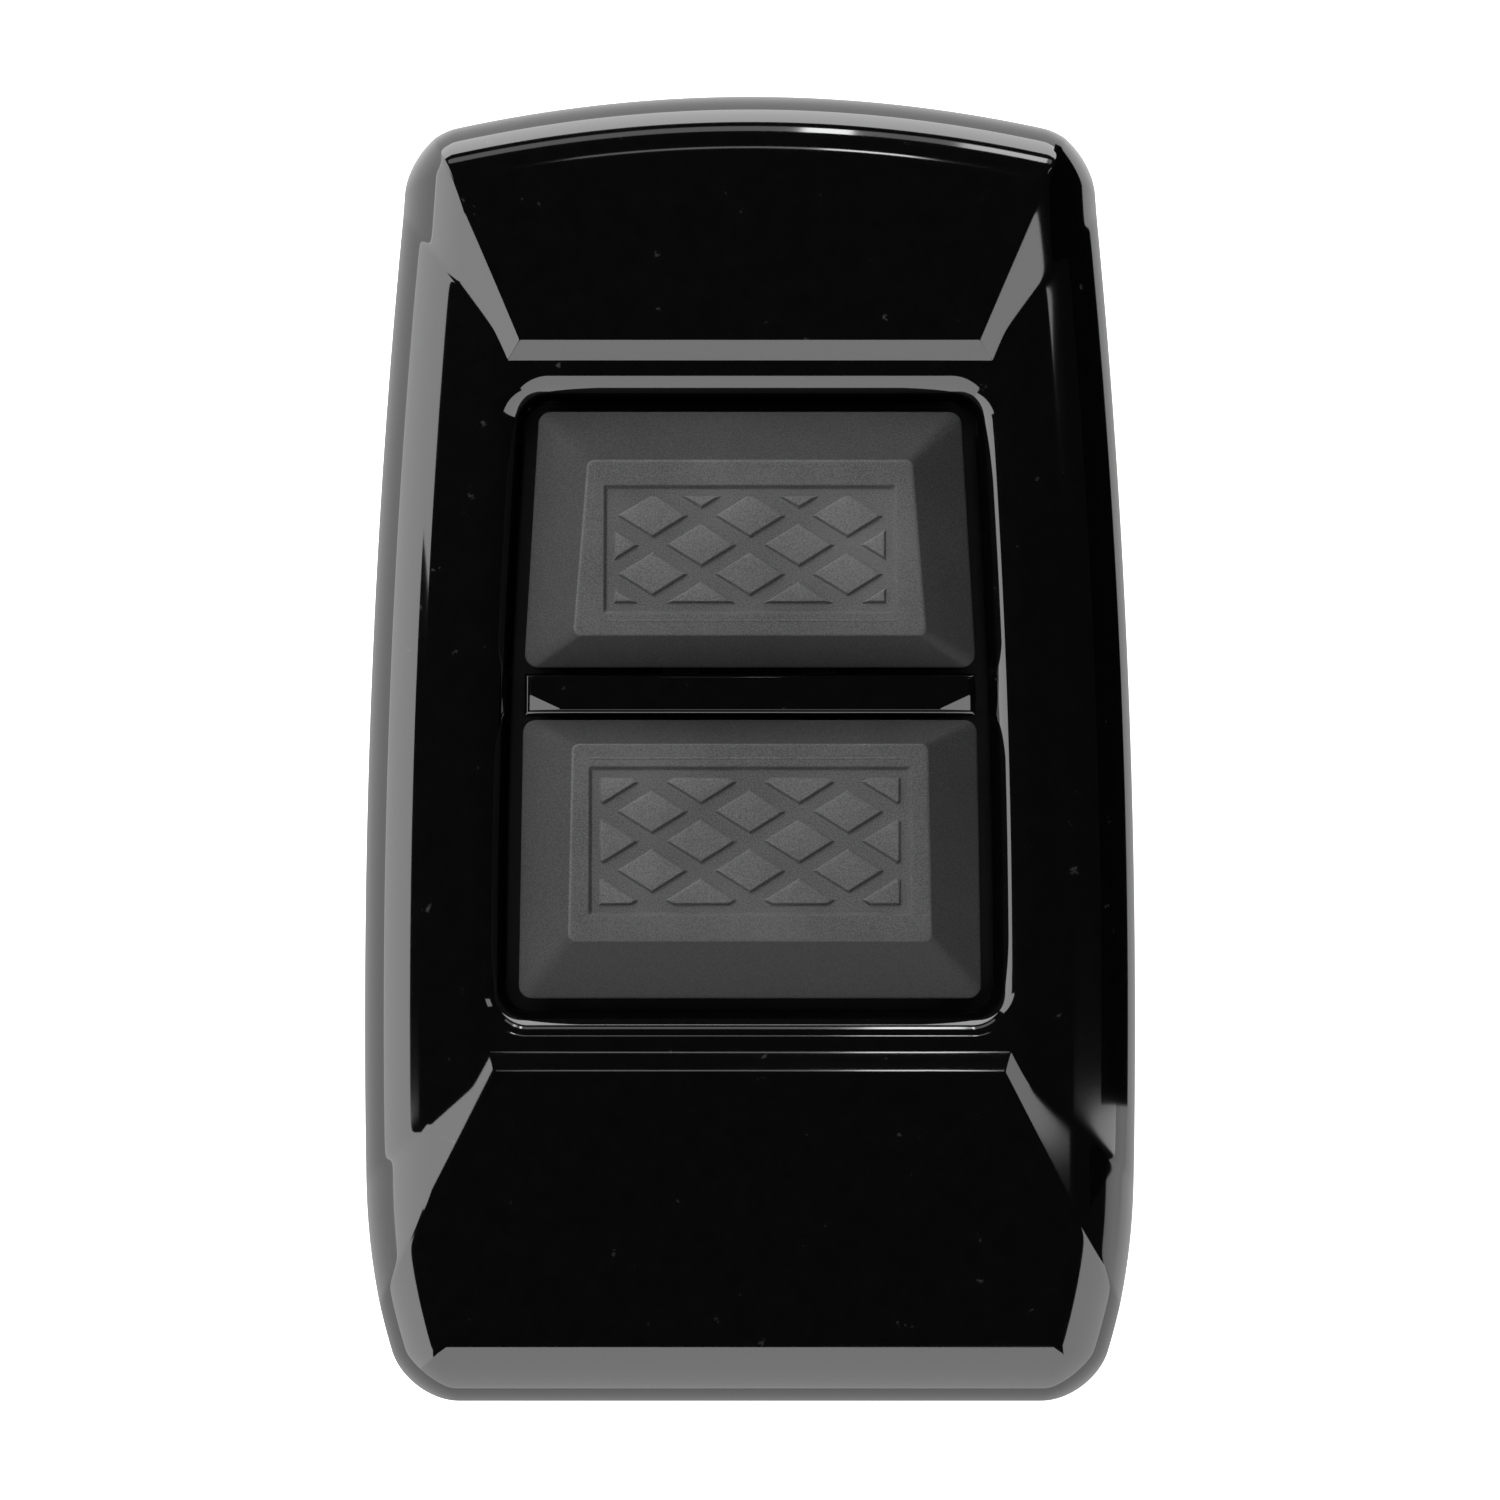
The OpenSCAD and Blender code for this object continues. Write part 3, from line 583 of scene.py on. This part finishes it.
def make_pad(name, node, body, near, far, shift):
    side = 1 if far > near else -1
    half = lambda y: body_half(y) - PAD_BORDER
    low, high = min(near, far), max(near, far)
    low_in, high_in = (BEVEL_INNER, BEVEL_OUTER) if side > 0 else (BEVEL_OUTER, BEVEL_INNER)

    def ring(share, z, corner):
        """Outline part of the way up the bevel."""
        inset = share * BEVEL_SIDE
        return level(corner_outline(half(low) - inset, half(high) - inset, low + share * low_in,
                                    high - share * high_in, corner), z)

    y0 = near + side * (BEVEL_INNER + RECESS_INNER)
    y1 = far - side * (BEVEL_OUTER + RECESS_OUTER)
    r_low, r_high = min(y0, y1), max(y0, y1)
    r_half = min(half(near), half(far)) - BEVEL_SIDE - RECESS_SIDE
    top_z = PAD_TOP - 0.035
    rise = top_z - PAD_BASE - PAD_LAND
    floor_z = top_z - RECESS_DEPTH

    def recess(grow, z):
        return level(corner_outline(r_half + grow, r_half + grow, r_low - grow, r_high + grow,
                                    0.12 + max(grow, 0)), z)

    def bevel_z(share):
        """Height on the bevel, rounded over where it meets the flat top."""
        fall = soft_max((1 - share) * rise, 0, 0.03)
        return top_z - fall

    rings = [ring(share, PAD_BASE + up, PAD_CORNER_R) for share, up in
             [(0.004, 0), (0, 0.04), (0, PAD_LAND - 0.03), (0.01, PAD_LAND + 0.01)]]
    for share in (0.025, 0.06, 0.5, 0.9, 0.95, 0.975, 0.99, 1, 1.01, 1.025, 1.05, 1.08):
        rings.append(ring(share, bevel_z(share), PAD_CORNER_R - 0.3 * min(share, 1)))
    for grow, drop in [(0.09, 0), (0.05, 0.004), (0.02, 0.02), (0, 0.05)]:
        rings.append(recess(grow, top_z - drop))
    for grow, rise_up in [(-0.12, 0.04), (-0.14, 0.012), (-0.18, 0)]:
        rings.append(recess(grow, floor_z + rise_up))
    count = len(rings[0])
    verts = list(np.concatenate(rings))
    faces = loop_faces(len(rings), count, False)
    faces.append(tuple(range(count - 1, -1, -1)))
    faces.append(tuple((len(rings) - 1) * count + i for i in range(count)))

    # Thin raised line on the bar's side of the recess
    line_y = y0 - side * LINE_AWAY
    start = len(verts)
    for dy, z in [(-LINE_HALF, top_z - 0.03), (-LINE_HALF / 2, PAD_TOP - 0.008), (0, PAD_TOP),
                  (LINE_HALF / 2, PAD_TOP - 0.008), (LINE_HALF, top_z - 0.03)]:
        verts.extend((x, line_y + dy, z) for x in (-r_half, r_half))
    for k in range(4):
        a = start + 2 * k
        faces.append((a, a + 1, a + 3, a + 2))
    faces.append((start, start + 8, start + 9, start + 1))
    faces.append((start, start + 2, start + 4, start + 6, start + 8))
    faces.append((start + 9, start + 7, start + 5, start + 3, start + 1))

    middle = (r_low + r_high) / 2
    window = (-(r_half - BORDER), r_half - BORDER, r_low + BORDER, r_high - BORDER)
    diamonds_start = len(verts)
    for row in range(-2, 3):
        for column in ([-1.5, -0.5, 0.5, 1.5] if row % 2 == 0 else [-1, 0, 1]):
            cx, cy = column * DIAMOND_PITCH_X, middle + shift + row * DIAMOND_PITCH_Y
            shape = clip_polygon([(cx - DIAMOND_W / 2, cy), (cx, cy - DIAMOND_H / 2),
                                  (cx + DIAMOND_W / 2, cy), (cx, cy + DIAMOND_H / 2)], *window)
            if len(shape) < 3 or polygon_area(shape) < SMALLEST_DIAMOND:
                continue
            start = len(verts)
            levels = [(-0.03, floor_z - 0.05), (0.09, floor_z + DIAMOND_RISE - 0.04),
                      (0.11, floor_z + DIAMOND_RISE - 0.012), (0.15, floor_z + DIAMOND_RISE)]
            n = len(shape)
            for inset, z in levels:
                verts.extend((x, y, z) for x, y in inset_polygon(shape, inset))
            for k in range(len(levels) - 1):
                for i in range(n):
                    j = (i + 1) % n
                    a = start + k * n
                    faces.append((a + i, a + j, a + n + j, a + n + i))
            faces.append(tuple(start + i for i in range(n - 1, -1, -1)))
            faces.append(tuple(start + (len(levels) - 1) * n + i for i in range(n)))
    piece = make_piece(name, verts, faces)
    # Painted light: 0 puts painted shade on the bevels, 1 on the flat top, and more on the diamonds
    # as a painted highlight for their grain's sparkle
    painted_shade_and_highlight = np.ones(len(verts))
    painted_shade_and_highlight[:BEVEL_RINGS * count] = 0
    painted_shade_and_highlight[diamonds_start:] = 1.4
    piece.data.attributes.new("painted_shade_and_highlight", "FLOAT", "POINT").data.foreach_set("value", painted_shade_and_highlight)
    piece.data.set_sharp_from_angle(angle=math.radians(48))
    # The last number is the share of the colour kept on the bevels, which is painted shade.
    piece.data.materials.append(moulded("pad_grey", (0.085, 0.085, 0.086),
                                        (0.16, 0.16, 0.161), 0.62, 0.085, 0.02, 0.36))
    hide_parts(node)
    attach(piece, body)
    return piece


# ---------------------------------------------------------------- centre bar

def make_bar():
    """Bar between the pads, with two low facets at the ends of its lower edge."""
    x, low, high, top, base = bar_high[0], bar_low[1], bar_high[1], bar_high[2], bar_low[2]
    cut_x, cut_y = 1.6, 0.75

    def outline_at(inset, facet, z):
        return [(x - inset, high - inset, z), (inset - x, high - inset, z),
                (inset - x, low + inset + facet * cut_y, z),
                (inset - x + facet * cut_x, low + inset, z),
                (x - inset - facet * cut_x, low + inset, z),
                (x - inset, low + inset + facet * cut_y, z)]

    verts, faces = [], []
    rings = [(0, 0.02, base), (0, 0.02, top - 0.62)]
    for turn in np.linspace(0, math.pi / 2, 9)[1:]:
        rings.append((0.3 * (1 - math.cos(turn)), 0.02, top - 0.62 + 0.3 * math.sin(turn)))
    rings.append((0.32, 0.98, top - 0.04))
    rings.append((0.36, 1, top - 0.01))
    rings.append((0.42, 1, top))
    for inset, facet, z in rings:
        verts.extend(outline_at(inset, facet, z))
    faces = [tuple(reversed(f)) for f in loop_faces(len(rings), 6, False)]
    faces.append(tuple(range(6)))
    faces.append(tuple((len(rings) - 1) * 6 + i for i in reversed(range(6))))
    piece = make_piece("centre_bar_moulding", verts, faces)
    piece.data.set_sharp_from_angle(angle=math.radians(14))
    piece.data.materials.append(gloss_black())
    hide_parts("centre_bar")
    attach(piece, "housing")
    return piece


# ---------------------------------------------------------------- build

make_camera()
make_floor()
make_flag()
make_lights()
make_shell()
make_bar()
make_pad("upper_thumb_pad", "upper_pad", "upper_paddle", upper_low[1], upper_high[1], 0.25)
make_pad("lower_thumb_pad", "lower_pad", "lower_paddle", lower_high[1], lower_low[1], 0)

# Material slot: kind, dark and light colour, roughness, then grain and its depth in mm
CAD_LOOKS = {
    "base_black": (moulded, (0.018, 0.018, 0.019), (0.03, 0.03, 0.031), 0.5, 0.12, 0.012),
    "seal_rubber": (moulded, (0.012, 0.012, 0.012), (0.02, 0.02, 0.02), 0.75, 0.2, 0.01),
    "frame_black": (moulded, (0.004, 0.004, 0.004), (0.007, 0.007, 0.007), 0.45, 0.2, 0.005),
    "screw_steel": (metal, (0.5, 0.5, 0.51), (0.66, 0.66, 0.67), 0.28),
    "cell_steel": (metal, (0.62, 0.62, 0.63), (0.74, 0.74, 0.75), 0.2),
    "contact_brass": (metal, (0.68, 0.5, 0.22), (0.8, 0.62, 0.3), 0.25),
    "shield_can": (metal, (0.58, 0.58, 0.59), (0.7, 0.7, 0.71), 0.3),
    "switch_body": (moulded, (0.05, 0.05, 0.05), (0.07, 0.07, 0.07), 0.5, 0.1, 0.005),
    "plunger_red": (moulded, (0.4, 0.06, 0.05), (0.52, 0.09, 0.07), 0.45, 0.1, 0.005),
    "board_green": (moulded, (0.02, 0.13, 0.06), (0.035, 0.18, 0.09), 0.35, 0.3, 0.004),
    "chip_black": (moulded, (0.015, 0.015, 0.015), (0.025, 0.025, 0.025), 0.6, 0.08, 0.004),
    "passive_tan": (moulded, (0.4, 0.3, 0.18), (0.5, 0.38, 0.23), 0.55, 0.1, 0.004),
}


def dress_cad_nodes():
    slot_of = {row["node"]: row["material_slot"] for row in frame["record"]["subparts"]}
    ready = {}
    for node, thing in frame["nodes"].items():
        slot = slot_of[node]
        if slot == "pad_grey":
            continue
        if slot not in ready:
            kind, *look = CAD_LOOKS.get(slot, (None,))
            ready[slot] = kind(slot, *look) if kind else gloss_black()
        for item in thing.material_slots:
            item.material = ready[slot]


dress_cad_nodes()

bpy.context.scene.view_settings.view_transform = "Standard"
